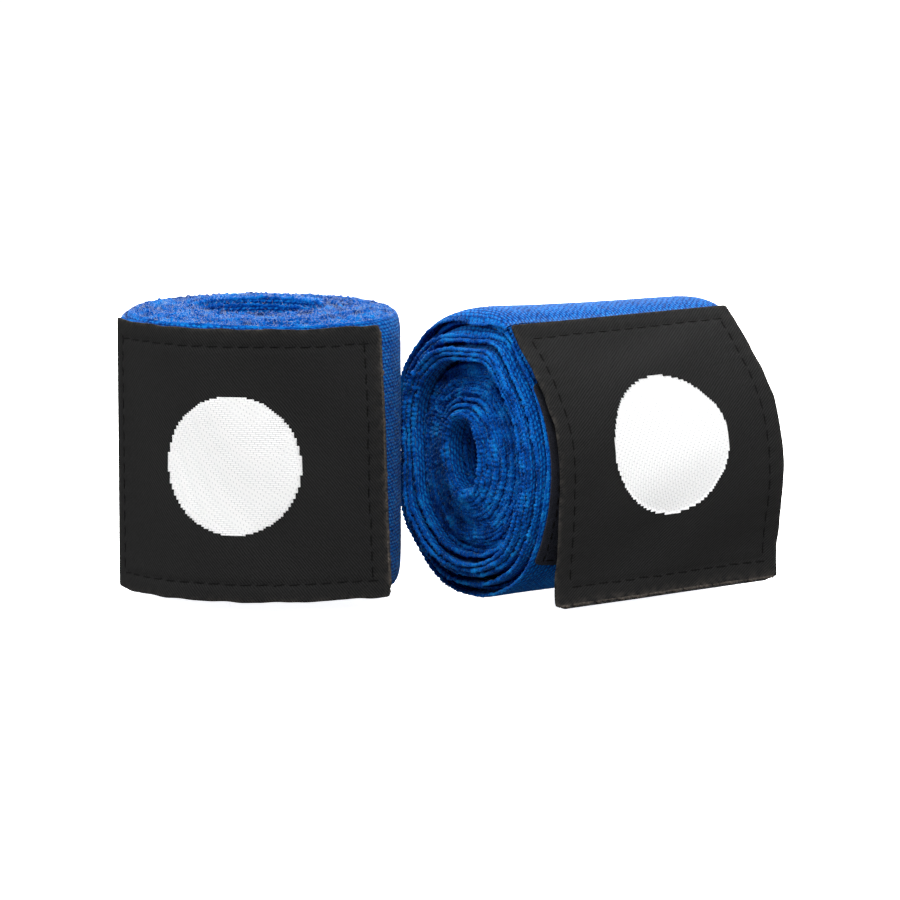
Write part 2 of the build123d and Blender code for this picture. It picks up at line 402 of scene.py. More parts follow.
def pale_floor():
    n = Nodes("studio floor")
    shade = n.ramp(n.noise(n.place(), 3, 2), [(0.3, (0.93, 0.93, 0.93)), (0.7, (0.95, 0.95, 0.95))])
    n.shader.inputs["Emission Color"].default_value = (1, 1, 1, 1)
    n.shader.inputs["Emission Strength"].default_value = 0.95
    return n.finish(shade, 0.9, 0.0, 0.5, (1, 1, 1), 0.1)


MATERIALS = {
    "band": band_cloth(),
    "yarn": edge_yarn(),
    "fuzz": fibre_fuzz("blue lint", (0.06, 0.24, 0.62), SHEEN_PALE),
    # The far-end hairs are painted pale: a painted sheen for the light from above and behind on the coil's
    # top.
    "pale fuzz": fibre_fuzz("pale lint", (0.5, 0.56, 0.66), (1, 1, 1)),
    "twill": twill_cloth(),
    "badge": satin_white(),
    "thread": thread_black(),
    "pile": loop_pile(),
    "hooks": hook_nylon(),
    "cut": cut_edge(),
}


# --- one rolled wrap
def peel_joint(side):
    return next(j for j in frame["joints"] if j["name"] == side + "_tab_peel")


class Wrap:
    """A rolled wrap's own axes and the shape of its roll."""

    def __init__(self, side, outward, seed, pitches, outline, flare, taper, lip, far_lip, core):
        joint = peel_joint(side)
        self.side = side
        self.seed = seed
        self.e3 = -np.array(joint["axis"], float)
        self.e1 = np.array(outward, float)
        self.e2 = np.cross(self.e3, self.e1)
        hinge = np.array(joint["pos_m"], float)
        self.base = hinge - self.e1 * LABEL_OUTSIDE * MM - self.e3 * BAND_WIDTH / 2 * MM
        self.outline = outline
        self.flare = flare
        self.taper = taper
        self.lip = lip
        self.far_lip = far_lip
        self.core_shift, self.core_squeeze, self.core_turn = core
        self.steps = np.concatenate([[0], np.cumsum(pitches)])
        self.pitches = np.append(pitches, pitches[-1])

    def world(self, points):
        """Metres in the row's frame, from millimetres on the wrap's own axes."""
        axes = np.stack([self.e1, self.e2, self.e3])
        return self.base + np.asarray(points) @ axes * MM

    def radius(self, turn):
        """The band's middle radius at an angle in degrees, 0 at the sewn edge and falling inwards."""
        turns = -(np.asarray(turn, float) + GROWTH_START) / 360
        whole = np.clip(np.floor(turns), -1, TURNS - 1).astype(int)
        part = turns - whole
        shrink = np.where(part < 0.5, (1 - np.cos(2 * np.pi * part)) / 2, 1.0)
        outer = BAND_MIDDLE + PITCH
        inside = outer - self.steps[np.maximum(whole, 0)] - self.pitches[np.maximum(whole, 0)] * shrink
        return np.where(whole < 0, outer, inside)

    def swell(self, angle, radius, w):
        """The roll's departure from round, in millimetres, growing with the radius."""
        full = self.outline(angle) + self.flare(angle) * np.exp(-np.maximum(w, 0) / FLARE_REACH)
        full = full + self.taper(angle) * np.exp(-w / TAPER_REACH)
        full = full - self.lip(angle) * np.exp(-np.maximum(w, 0) / LIP_REACH)
        full = full - self.far_lip * np.exp(-np.maximum(BAND_WIDTH - w, 0) / FAR_LIP_REACH)
        return full * (radius / BAND_MIDDLE) ** 2

    def polar(self, angle, radius, w):
        """Points on the wrap's axes from an angle, a radius before swelling, and a height."""
        grown = radius + self.swell(angle, radius, w)
        turn = np.radians(angle)
        inner = np.maximum(radius - CORE_RADIUS, 0)
        shift = np.exp(-inner / 4)
        ends = np.exp(-np.maximum(w, 0) / 7) + np.exp(-np.maximum(BAND_WIDTH - w, 0) / 7)
        squeeze = self.core_squeeze * np.exp(-inner / 2.5) * ends
        narrow = math.radians(self.core_turn)
        along = grown * np.cos(turn - narrow) * squeeze
        x = grown * np.cos(turn) - along * math.cos(narrow) + self.core_shift[0] * shift
        y = grown * np.sin(turn) - along * math.sin(narrow) + self.core_shift[1] * shift
        return np.stack(np.broadcast_arrays(x, y, w), -1)

    def mesh(self, piece, points, faces, look, weave=None):
        """One piece of this wrap, from millimetres on the wrap's own axes."""
        return add_mesh(self.name(piece), self.world(points.reshape(-1, 3)), faces, MATERIALS[look], weave)

    def name(self, piece):
        return self.side + "_" + piece

    def on_roll(self, obj, slot, *nodes):
        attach(obj, self.side + "_wrap")
        self.stands_for(nodes)

    def on_tab(self, obj, slot, *nodes):
        middle = self.world([LABEL_OUTSIDE, 0, BAND_WIDTH / 2])
        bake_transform(obj)
        self.stands_for(nodes)

    def stands_for(self, nodes):
        if nodes:
            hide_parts(*[self.name(node) for node in nodes])


def arc_lengths(points):
    steps = np.linalg.norm(np.diff(points, axis=0), axis=1)
    return np.concatenate([[0], np.cumsum(steps)])


def turn_samples(wrap, spacing, first=INNER_TURN, last=-0.5):
    """Angles along the spiral, evenly spaced by distance."""
    coarse = np.linspace(first, last, 20000)
    radius = wrap.radius(coarse)
    travelled = np.concatenate([[0], np.cumsum(np.radians(np.diff(coarse)) * radius[1:])])
    count = int(travelled[-1] / spacing)
    wanted = np.linspace(0, travelled[-1], count + 1)
    return np.interp(wanted, travelled, coarse), wanted


def band(wrap):
    """The wound band: one closed strip from the core to the bend line."""
    angle, travelled = turn_samples(wrap, 1.5)
    radius = wrap.radius(angle)
    low, high = wrap.edges(angle, travelled)
    half = BAND_THICK / 2
    shares = np.array([0, 0.5, 1.2, 2.2, 3.6, 6, 10, 16, 25, 34, 40, 44, 46.4, 47.8, 48.8, 49.5, 50]) / 50
    inset = half + 0.1
    loop = [(half, share) for share in shares]
    loop += [(half * math.cos(t), 1 + math.sin(t)) for t in (0.6, 1.57, 2.54)]
    loop += [(-half, share) for share in shares[::-1]]
    loop += [(-half * math.cos(t), -math.sin(t)) for t in (0.6, 1.57, 2.54)]
    columns = []
    for out, share in loop:
        inside = min(max(share, 0), 1)
        cap = share - inside
        w = low + inset + (high - low - 2 * inset) * inside + cap * inset
        columns.append(wrap.polar(angle, radius + out, w))
    points = np.stack(columns, 1)
    rows, ring = points.shape[:2]
    s = np.broadcast_to(travelled[:, None], (rows, ring))
    weave = np.stack([s, points[..., 2], np.zeros_like(s)], -1)
    faces = [grid_faces(rows, ring, close_columns=True)[:, ::-1]]
    faces.append(np.arange(ring)[None])
    faces.append(np.arange(ring)[None, ::-1] + (rows - 1) * ring)
    obj = wrap.mesh("band_cloth", points, faces, "band", weave)
    wrap.on_roll(obj, "band_cloth", "band")
    return obj


def selvedge(wrap, top):
    """The bumpy edge yarn of the band along every turn, at one end of the roll."""
    angle, travelled = turn_samples(wrap, 0.17)
    low, high = wrap.edges(angle, travelled)
    radius = wrap.radius(angle)
    beat = travelled * 2 * math.pi / KNOT_PITCH + wander(wrap.seed + 8 + top, 2600, 5, 1.2)(travelled)
    rough = smooth_step(-angle, 300, 420)
    size = 1 + wander(wrap.seed + 9 + top, 2600, KNOT_PITCH, 0.22)(travelled) * (0.2 + 0.8 * rough)
    fat = YARN_RADIUS * (0.8 + 0.2 * rough)
    thick = fat * (0.94 + (0.05 + 0.12 * rough) * np.cos(beat)) * np.clip(size, 0.8, 1.3)
    out = 0.04 * np.sin(beat / 2) - 0.06 + wander(wrap.seed + 10 + top, 2600, KNOT_PITCH, 0.05)(travelled)
    stray = wander(wrap.seed + 11 + top, 2600, KNOT_PITCH, 0.14)(travelled)
    lift = 0.06 * np.cos(beat + 1) + stray * rough * 0.7
    w = high - 0.1 + lift if top else low + 0.1 - lift
    sides = 6
    columns = []
    for number in range(sides):
        turn = number * 2 * math.pi / sides
        skew = 0.12 * thick * math.cos(turn) * np.sin(beat)
        columns.append(
            wrap.polar(angle, radius + out + thick * math.cos(turn), w + thick * math.sin(turn) + skew)
        )
    points = np.stack(columns, 1)
    rows = len(points)
    faces = [grid_faces(rows, sides, close_columns=True)]
    faces.append(np.arange(sides)[None, ::-1])
    faces.append(np.arange(sides)[None] + (rows - 1) * sides)
    obj = wrap.mesh("band_selvedge_" + ("far" if top else "near"), points, faces, "yarn")
    wrap.on_roll(obj, "band_cloth")


# --- the closure tab
class Surface:
    """What the tab and the roll's outside share: points from surface(u, w, out)."""

    def normals(self, u, w, out):
        e = 0.06
        du = self.surface(u + e, w, out) - self.surface(u - e, w, out)
        dw = self.surface(u, w + e, out) - self.surface(u, w - e, out)
        return unit(np.cross(du, dw))


class Tab(Surface):
    """The inner face of the label as a surface: u from the sewn edge, w along the roll."""

    def __init__(self, length, skew, near_start, near_turns, far_start, far_turns, seed):
        self.length = length
        self.skew = skew
        self.u = np.arange(-4, length + 4, 0.25)
        self.near, self.near_turn = self.path(near_start, near_turns)
        self.far, self.far_turn = self.path(far_start, far_turns)
        rng = np.random.default_rng(seed)
        self.waves = [
            (rng.uniform(0.12, 0.4), rng.uniform(0.1, 0.35), rng.uniform(0, 6), 0.05) for _ in range(7)
        ]

    def path(self, start, turns):
        """Points and headings of one edge, from its start (angle, radius) and (distance, turn) pairs."""
        keys, values = zip(*turns)
        turn = np.interp(self.u, keys, values)
        kernel = np.exp(-0.5 * (np.arange(-24, 25) / 9) ** 2)
        padded = np.pad(turn, 24, mode="edge")
        turn = np.radians(np.convolve(padded, kernel / kernel.sum(), "valid"))
        ahead = np.stack([-np.sin(turn), np.cos(turn)], -1)
        middle = (ahead[1:] + ahead[:-1]) / 2 * 0.25
        points = np.concatenate([np.zeros((1, 2)), np.cumsum(middle, 0)])
        angle, radius = math.radians(start[0]), start[1]
        origin = points[np.searchsorted(self.u, 0)]
        return points - origin + radius * np.array([math.cos(angle), math.sin(angle)]), turn

    def surface(self, u, w, out=0.0):
        """Points `out` from the label's inner face, wrinkles and stitch furrows included."""
        share = (w - LABEL_BASE) / LABEL_WIDTH
        u = u - self.skew * share * smooth_step(u, 20, self.length)
        near = np.stack([np.interp(u, self.u, self.near[:, i]) for i in (0, 1)], -1)
        far = np.stack([np.interp(u, self.u, self.far[:, i]) for i in (0, 1)], -1)
        flat = near + (far - near) * share[..., None]
        near_turn = np.interp(u, self.u, self.near_turn)
        far_turn = np.interp(u, self.u, self.far_turn)
        turn = near_turn * (1 - share) + far_turn * share
        out = out + self.wrinkle(u, w)
        x = flat[..., 0] + np.cos(turn) * out
        y = flat[..., 1] + np.sin(turn) * out
        return np.stack([x, y, w], -1)

    def wrinkle(self, u, w):
        low = sum(size * np.sin(a * u + b * w + c) for a, b, c, size in self.waves)
        side = np.minimum(w - LABEL_BASE, LABEL_BASE + LABEL_WIDTH - w)
        edge = np.minimum(np.minimum(u, self.length - u), side)
        furrow = -0.16 * np.exp(-(((edge - STITCH_INSET) / 0.55) ** 2))
        along = np.where(np.minimum(u, self.length - u) <= edge + 1e-6, w, u)
        pucker = 0.07 * np.sin(along * 2 * np.pi / STITCH_PITCH) * np.exp(-np.abs(edge - STITCH_INSET) / 1.6)
        return low * smooth_step(u, 0, 8) + furrow + pucker * smooth_step(u, 0, 3)


def edge_spacing(low, high, step, fine):
    """Positions about `step` apart, closer together beside both ends."""
    start = np.array([0, 0.12, 0.45, 1.0]) * fine
    count = max(2, int((high - low - 2 * fine) / step))
    middle = np.linspace(low + fine, high - fine, count + 1)
    return np.concatenate([low + start[:-1], middle, (high - start[:-1])[::-1]])


def patch(tab, u_span, w_span, inner, outer, step, corner, uneven=None):
    """A closed slab between two offsets from the tab's surface, with rounded edges and corners."""
    half = (outer - inner) / 2
    middle = (outer + inner) / 2
    u0 = edge_spacing(*u_span, step, half)
    w0 = edge_spacing(*w_span, step, half)
    u, w = np.meshgrid(u0, w0, indexing="ij")
    gap = np.minimum(np.minimum(u - u_span[0], u_span[1] - u), np.minimum(w - w_span[0], w_span[1] - w))
    inside = np.clip(1 - gap / half, 0, 1)
    swell = np.sqrt(1 - inside**2)
    for low_u, sign_u in ((u_span[0], 1), (u_span[1], -1)):
        for low_w, sign_w in ((w_span[0], 1), (w_span[1], -1)):
            a = corner - (u - low_u) * sign_u
            b = corner - (w - low_w) * sign_w
            close = (a > 0) & (b > 0)
            pull = np.where(close, np.maximum(a, b) / np.maximum(np.hypot(a, b), 1e-9), 1)
            u = np.where(close, low_u + sign_u * (corner - a * pull), u)
            w = np.where(close, low_w + sign_w * (corner - b * pull), w)
    if uneven is not None:
        u, w = uneven(u, w)
    front = tab.surface(u, w, middle + half * swell)
    back = tab.surface(u, w, middle - half * swell)
    rows, columns = u.shape
    rim = np.zeros((rows, columns), bool)
    rim[0] = rim[-1] = rim[:, 0] = rim[:, -1] = True
    number = np.arange(rows * columns).reshape(rows, columns)
    behind = number.copy()
    behind[~rim] = rows * columns + np.arange((~rim).sum())
    quads = grid_faces(rows, columns)
    faces = [quads, behind.ravel()[quads][:, ::-1]]
    points = np.concatenate([front.reshape(-1, 3), back[~rim]])
    worn = np.exp(-gap / 0.45) + 0.8 * np.exp(-np.abs(u_span[1] - u) / 0.8)
    weave = np.stack([u, w, worn], -1)
    weave = np.concatenate([weave.reshape(-1, 3), weave[~rim]])
    return points, faces, weave


def stitch_line(tab, places, directions, out, radius, rise=0.1, length=STITCH_LENGTH):
    """Dashes of two-ply thread lying on the tab, as closed tubes."""
    places = np.asarray(places, float)[:, None]
    directions = np.asarray(directions, float)[:, None]
    t = np.linspace(-1, 1, 15)[None, :, None]
    flat = places + directions * t * length / 2
    u, w = flat[..., 0], flat[..., 1]
    arch = (1 - t[..., 0] ** 4) * rise - 0.09
    centre = tab.surface(u, w, out + arch)
    outward = tab.normals(u, w, out + arch)
    ahead = unit(np.gradient(centre, axis=1))
    sideways = unit(np.cross(ahead, outward))
    outward = np.cross(sideways, ahead)
    end = np.sqrt(np.clip(1 - (t * 0.995) ** 6, 0, 1))[..., 0]
    sides = 10
    turn = np.arange(sides) * 2 * math.pi / sides
    ply = 1 + 0.2 * np.cos(2 * (turn[None, None] - t * length / 2 * 2 * math.pi / 1.6))
    radii = radius * end[..., None] * ply * np.ones((len(places), 1, 1))
    return tubes(centre, sideways, outward, radii, sides)


def frame_stitches(u_span, w_span, inset, pitch, seed):
    """Places and directions of the stitches round a patch."""
    rng = np.random.default_rng(seed)
    places, directions = [], []
    u_low, u_high = u_span[0] + inset, u_span[1] - inset
    w_low, w_high = w_span[0] + inset, w_span[1] - inset
    for fixed in (w_low, w_high):
        for u in np.arange(u_low + pitch / 2, u_high, pitch):
            places.append((u, fixed + rng.normal(0, 0.05)))
            directions.append((1, rng.normal(0.03, 0.03)))
    for fixed in (u_low, u_high):
        for w in np.arange(w_low + pitch / 2, w_high, pitch):
            places.append((fixed + rng.normal(0, 0.05), w))
            directions.append((rng.normal(0.03, 0.03), 1))
    return places, directions


def label(wrap, tab):
    end_wander = wander(wrap.seed + 31, 80, 3, 0.08)
    side_wander = wander(wrap.seed + 32, 80, 3, 0.08)

    def uneven(u, w):
        moved_u = u + end_wander(w) * smooth_step(u, 40, tab.length)
        moved_w = w + side_wander(u) * smooth_step(np.abs(w - 25), 15, 25)
        return moved_u, moved_w

    points, faces, weave = patch(
        tab, (0, tab.length), (LABEL_BASE, LABEL_BASE + LABEL_WIDTH), -0.1, LABEL_THICK, 0.42, 0.6, uneven
    )
    obj = wrap.mesh("label_twill", points, faces, "twill", weave)
    wrap.on_tab(obj, "label_cloth", "label")
    return obj


def label_stitches(wrap, tab):
    w_span = (LABEL_BASE, LABEL_BASE + LABEL_WIDTH)
    places, directions = frame_stitches((0, tab.length), w_span, STITCH_INSET, STITCH_PITCH, wrap.seed + 41)
    points, faces = stitch_line(tab, places, directions, LABEL_THICK, 0.15)
    obj = wrap.mesh("label_thread", points, faces, "thread")
    wrap.on_tab(obj, "black_thread", "label_stitching")


def badge(wrap, tab):
    """White weft floats that make a plain disc: one bundle per pick, ends stepped by the weave."""
    pick = 0.35
    count = int(2 * BADGE_RADIUS / pick)
    across = 4
    faces, points, weave = [], [], []
    start = 0
    for row in range(count):
        v = -BADGE_RADIUS + (row + 0.5) * pick
        reach = round(math.sqrt(max(BADGE_RADIUS**2 - v * v, 0)) / 0.45) * 0.45
        if reach < 0.4:
            continue
        steps = max(4, int(reach / 0.35))
        u = tab.length / 2 + np.linspace(-reach, reach, steps)
        turn = np.linspace(0, 2 * math.pi, 2 * across, endpoint=False)
        end = np.clip((1 - np.abs(np.linspace(-1, 1, steps)) ** 30), 0.25, 1)
        uu = np.broadcast_to(u[:, None], (steps, len(turn)))
        ww = BAND_WIDTH / 2 + v + pick * 0.5 * np.cos(turn)[None] * np.ones((steps, 1))
        out = LABEL_THICK + 0.06 + 0.09 * np.sin(turn)[None] * end[:, None]
        points.append(tab.surface(uu, ww, out).reshape(-1, 3))
        weave.append(np.stack([uu, ww, np.zeros_like(uu)], -1).reshape(-1, 3))
        quads = grid_faces(steps, len(turn), close_columns=True) + start
        caps = np.stack([np.arange(len(turn))[::-1], np.arange(len(turn)) + (steps - 1) * len(turn)])
        faces += [quads[:, ::-1], (caps + start)[:, ::-1]]
        start += steps * len(turn)
    obj = wrap.mesh("badge_disc", np.concatenate(points), faces, "badge", np.concatenate(weave))
    wrap.on_tab(obj, "badge_cloth", "badge")


def hem(wrap, tab):
    """The band's folded end under the label."""
    w_span = (HEM_MARGIN, BAND_WIDTH - HEM_MARGIN)
    points, faces, weave = patch(tab, (0.02, HEM_LENGTH), w_span, -HEM_THICK, -0.12, 0.9, 0.4)
    folded = wrap.mesh("band_hem", points, faces, "band", weave)
    wrap.on_tab(folded, "band_cloth", "band_end")
    rows = []
    for w, sign in zip(w_span, (-1, 1)):
        u = np.arange(0.1, HEM_LENGTH, 0.17)
        beat = u * 2 * math.pi / KNOT_PITCH
        centre = tab.surface(u, w + 0.1 * np.cos(beat) * sign, -HEM_THICK / 2 - 0.1 * np.sin(beat / 2))
        rows.append((u, w, centre, beat))
    centres = np.stack([row[2] for row in rows])
    outward = np.stack([tab.normals(row[0], row[1] + 0 * row[0], 0) for row in rows])
    sideways = np.zeros_like(centres)
    sideways[..., 2] = 1
    radii = np.stack([0.42 * (0.85 + 0.25 * np.cos(row[3])) for row in rows])[..., None] * np.ones(8)
    points, faces = tubes(centres, sideways, outward, radii, 8)
    obj = wrap.mesh("hem_selvedge", points, faces, "yarn")
    wrap.on_tab(obj, "band_cloth")
    return folded


def hook_tape(wrap, tab):
    """The woven back of the hook tape and its rows of little bent hooks."""
    u_span = (HEM_LENGTH + 0.5, tab.length + 0.6)
    w_span = (LABEL_BASE + HOOK_MARGIN, LABEL_BASE + LABEL_WIDTH - HOOK_MARGIN)
    points, faces, weave = patch(tab, u_span, w_span, -HOOK_THICK * 0.7, -0.12, 1.0, 1.0)
    back = wrap.mesh("hook_tape_back", points, faces, "hooks", weave)
    wrap.on_tab(back, "hook_tape", "hook_tape")
    rng = np.random.default_rng(wrap.seed + 51)
    along = np.arange(u_span[0] + 1.5, u_span[1] - 3.5, HOOK_SPACING)
    across = np.arange(w_span[0] + 1, w_span[1] - 1, HOOK_SPACING)
    u, w = np.meshgrid(along, across)
    u = u.ravel()[:, None] + rng.normal(0, 0.08, u.size)[:, None]
    w = w.ravel()[:, None] + rng.normal(0, 0.08, w.size)[:, None]
    lean = np.where(rng.random(len(u)) < 0.5, -1, 1)[:, None]
    t = np.linspace(0, 1, 7)[None]
    bend = t * 3.6
    reach = 0.13 * (1 - np.cos(bend)) * lean
    depth = -HOOK_THICK * 0.7 - 0.2 * np.sin(np.minimum(bend, 2.6))
    centre = tab.surface(u + 0 * t, w + reach, depth + 0 * u)
    ahead = unit(np.gradient(centre, axis=1))
    side = unit(np.cross(ahead, tab.normals(u + 0 * t, w + reach, depth + 0 * u) + 0.01))
    outward = np.cross(side, ahead)
    points, faces = tubes(centre, side, outward, np.full((*centre.shape[:2], 4), 0.045), 4)
    obj = wrap.mesh("hook_tape_hooks", points, faces, "hooks")
    wrap.on_tab(obj, "hook_tape")
    return back


def cut_end(wrap, tab):
    """The heat-cut free end of the label: an uneven bead."""
    w = np.arange(LABEL_BASE + 0.8, LABEL_BASE + LABEL_WIDTH - 0.8, 0.2)
    rough = wander(wrap.seed + 61, 60, 0.5, 1.0)(w)
    u = tab.length - 0.05 + 0.09 * rough
    centre = tab.surface(u, w, LABEL_THICK / 2 + 0.03 * rough)[None]
    outward = tab.normals(u, w, 0)[None]
    ahead = unit(np.gradient(centre, axis=1))
    sideways = np.cross(ahead, outward)
    size = np.clip(0.27 + 0.05 * rough, 0.15, 0.42)
    points, faces = tubes(centre, sideways, outward, size[None, :, None] * np.ones(8), 8)
    obj = wrap.mesh("label_cut_end", points, faces, "cut")
    wrap.on_tab(obj, "label_cloth")


# --- on the roll, under the tab
class RollFace(Surface):
    """The outside of the turn that carries the loop tape, as a surface like the tab's."""

    def __init__(self, wrap):
        self.wrap = wrap

    def surface(self, u, w, out=0.0):
        angle = LOOP_TAPE_START + np.degrees(u / ROLL_RADIUS)
        radius = self.wrap.radius(angle - 360) + BAND_THICK / 2 + out
        return self.wrap.polar(angle, radius, w)


def loop_tape(wrap):
    face = RollFace(wrap)
    base = (BAND_WIDTH - LOOP_TAPE_WIDTH) / 2 - wrap.tape_shift
    w_span = (base, base + LOOP_TAPE_WIDTH)
    points, faces, weave = patch(face, (0, LOOP_TAPE_LENGTH), w_span, 0.02, LOOP_TAPE_THICK, 0.5, 1.2)
    pile = wrap.mesh("loop_tape_pile", points, faces, "pile", weave)
    wrap.on_roll(pile, "loop_tape", "loop_tape")
    places, directions = frame_stitches((0, LOOP_TAPE_LENGTH), w_span, 1.4, 2.6, wrap.seed + 72)
    points, faces = stitch_line(face, places, directions, LOOP_TAPE_THICK, 0.13, 0.1, 1.7)
    obj = wrap.mesh("loop_tape_thread", points, faces, "thread")
    wrap.on_roll(obj, "black_thread", "loop_tape_stitching")
    return pile


def thumb_loop(wrap):
    """The narrow tape loop, pressed flat and wound up in the core, with its bar tacks."""
    core = wrap.radius(INNER_TURN)
    half = THUMB_THICK + 0.05
    last = core - BAND_THICK / 2 - 0.25 - half
    turn = np.linspace(-540, 0, 180) + INNER_TURN
    line = last - 1.05 * (INNER_TURN - turn) / 360
    gap = half / 2 + 0.02
    fold = np.linspace(0, math.pi, 7)[1:-1]
    out = np.concatenate([np.full(len(turn), gap), gap * np.cos(fold)])
    out = np.concatenate([out, np.full(len(turn), -gap), -gap * np.cos(fold)])
    bulge = np.degrees(gap * np.sin(fold) / last)
    inner = np.degrees(gap * np.sin(fold) / line[0])
    turns = np.concatenate([turn, turn[-1] + bulge, turn[::-1], turn[0] - inner])
    radii = np.concatenate([line, np.full(5, line[-1]), line[::-1], np.full(5, line[0])])
    low = (BAND_WIDTH - THUMB_WIDTH) / 2
    top = THUMB_WIDTH - 0.15
    ring = [(1, 0.15), (1, top), (0, THUMB_WIDTH), (-1, top), (-1, 0.15), (0, 0)]
    columns = []
    angle = np.radians(turns)
    centre = np.stack([(radii + out) * np.cos(angle), (radii + out) * np.sin(angle)], -1)
    ahead = unit(np.roll(centre, -1, 0) - np.roll(centre, 1, 0))
    side = np.stack([ahead[:, 1], -ahead[:, 0]], -1)
    for across, height in ring:
        flat = centre + side * across * THUMB_THICK * 0.45
        columns.append(np.concatenate([flat, np.full((len(flat), 1), low + height)], 1))
    points = np.stack(columns, 1)
    faces = [grid_faces(len(points), len(ring), close_rows=True, close_columns=True)[:, ::-1]]
    s = np.broadcast_to(arc_lengths(centre)[:, None], points.shape[:2])
    weave = np.stack([s, points[..., 2], 0 * s], -1).reshape(-1, 3)
    obj = wrap.mesh("thumb_loop_tape", points, faces, "band", weave)
    wrap.on_roll(obj, "thumb_tape", "thumb_loop")
    levels = low + np.arange(1, THUMB_WIDTH, 1.0)
    arc = np.radians(INNER_TURN - 8 + np.linspace(-9, 9, 9))
    zig = 0.3 * np.sin(np.linspace(0, 2 * math.pi, 9))
    around = core - BAND_THICK / 2 - 0.12
    centres = np.stack(
        [np.stack([around * np.cos(arc), around * np.sin(arc), level + zig], -1) for level in levels]
    )
    outward = np.stack([np.cos(arc), np.sin(arc), 0 * arc], -1)[None] * np.ones((len(levels), 1, 1))
    sideways = unit(np.cross(np.gradient(centres, axis=1), outward))
    points, faces = tubes(centres, sideways, outward, np.full((*centres.shape[:2], 6), 0.11), 6)
    obj = wrap.mesh("thumb_loop_thread", points, faces, "thread")
    wrap.on_roll(obj, "black_thread", "thumb_loop_bartack")


# --- lint
def fibres(roots, directions, length, radius, seed):
    """Short curved hairs as thin three-sided closed tubes."""
    rng = np.random.default_rng(seed)
    count = len(roots)
    t = np.linspace(0, 1, 5)[None, :, None]
    size = length * rng.uniform(0.4, 1.5, (count, 1, 1))
    bend = rng.normal(0, 0.55, (count, 1, 3))
    curl = rng.normal(0, 0.35, (count, 1, 3))
    centres = roots[:, None] + directions[:, None] * t * size + bend * t**2 * size + curl * t**3 * size
    ahead = unit(np.gradient(centres, axis=1))
    side = unit(np.cross(ahead, rng.normal(0, 1, (count, 1, 3))))
    other = np.cross(side, ahead)
    radii = radius * (1 - 0.75 * t) * np.ones((count, 1, 1)) * np.ones(3)
    return tubes(centres, side, other, radii, 3)


def end_lint(wrap, top, count):
    """Hairs standing off the coil's end."""
    rng = np.random.default_rng(wrap.seed + 80 + top)
    angle, travelled = turn_samples(wrap, 0.4)
    pick = rng.integers(0, len(angle), count)
    low, high = wrap.edges(angle, travelled)
    w = (high[pick] + 0.15) if top else (low[pick] - 0.15)
    roots = wrap.polar(angle[pick], wrap.radius(angle[pick]) + rng.normal(0, 0.15, count), w)
    directions = rng.normal(0, 0.7, (count, 3))
    directions[:, 2] = np.abs(directions[:, 2]) * (1 if top else -1)
    points, faces = fibres(roots, unit(directions), 0.55, 0.02, wrap.seed + 82 + top)
    # The far end's hairs are pale, a painted sheen; the near end's hairs keep the cloth's blue.
    end, look = ("far", "pale fuzz") if top else ("near", "fuzz")
    obj = wrap.mesh("lint_" + end, points, faces, look)
    wrap.on_roll(obj, "band_cloth")


def side_lint(wrap, count):
    """Hairs standing off the outermost turn."""
    rng = np.random.default_rng(wrap.seed + 90)
    angle = rng.uniform(SIDE_LINT_START, -2, count)
    w = rng.uniform(0.3, BAND_WIDTH - 0.3, count)
    roots = wrap.polar(angle, wrap.radius(angle) + BAND_THICK / 2 + 0.02, w)
    turn = np.radians(angle)
    outward = np.stack([np.cos(turn), np.sin(turn), 0 * turn], -1)
    directions = unit(outward * 0.5 + rng.normal(0, 0.5, (count, 3)))
    points, faces = fibres(roots, directions, 0.5, 0.015, wrap.seed + 91)
    obj = wrap.mesh("lint_side", points, faces, "fuzz")
    wrap.on_roll(obj, "band_cloth")


# --- the two wraps
def even_pitches(seed, loose=()):
    """Distances between turns, outermost first: some loose outer turns, then even tight ones."""
    total = PITCH * TURNS
    count = TURNS - len(loose)
    tight = 1.0 + np.random.default_rng(seed).uniform(-0.08, 0.08, count)
    tight *= (total - sum(loose)) / tight.sum()
    return np.concatenate([loose, tight])


def make_edges(wrap, near_rise, far_rise, ripple):
    """How far each turn's two edges sit from the roll's ends, by turn, with an uneven ripple."""
    jump_near = np.random.default_rng(wrap.seed + 3).normal(0, ripple, TURNS + 3)
    jump_far = np.random.default_rng(wrap.seed + 4).normal(0, ripple, TURNS + 3)
    wave_near = wander(wrap.seed + 1, 2700, 9, ripple)
    wave_far = wander(wrap.seed + 2, 2700, 9, ripple)

    def edges(angle, travelled):
        turns = np.clip(-angle / 360, 0, TURNS + 1)
        numbers = np.arange(TURNS + 3)
        low = np.interp(turns, *zip(*near_rise)) + np.interp(turns, numbers, jump_near)
        low = low + wave_near(travelled)
        high = np.interp(turns, *zip(*far_rise)) + np.interp(turns, numbers, jump_far)
        high = high + wave_far(travelled)
        if wrap.side == "left":  # this wrap stands on its near end
            low = np.maximum(low, LOWEST_EDGE)
        return low, BAND_WIDTH + high

    return edges


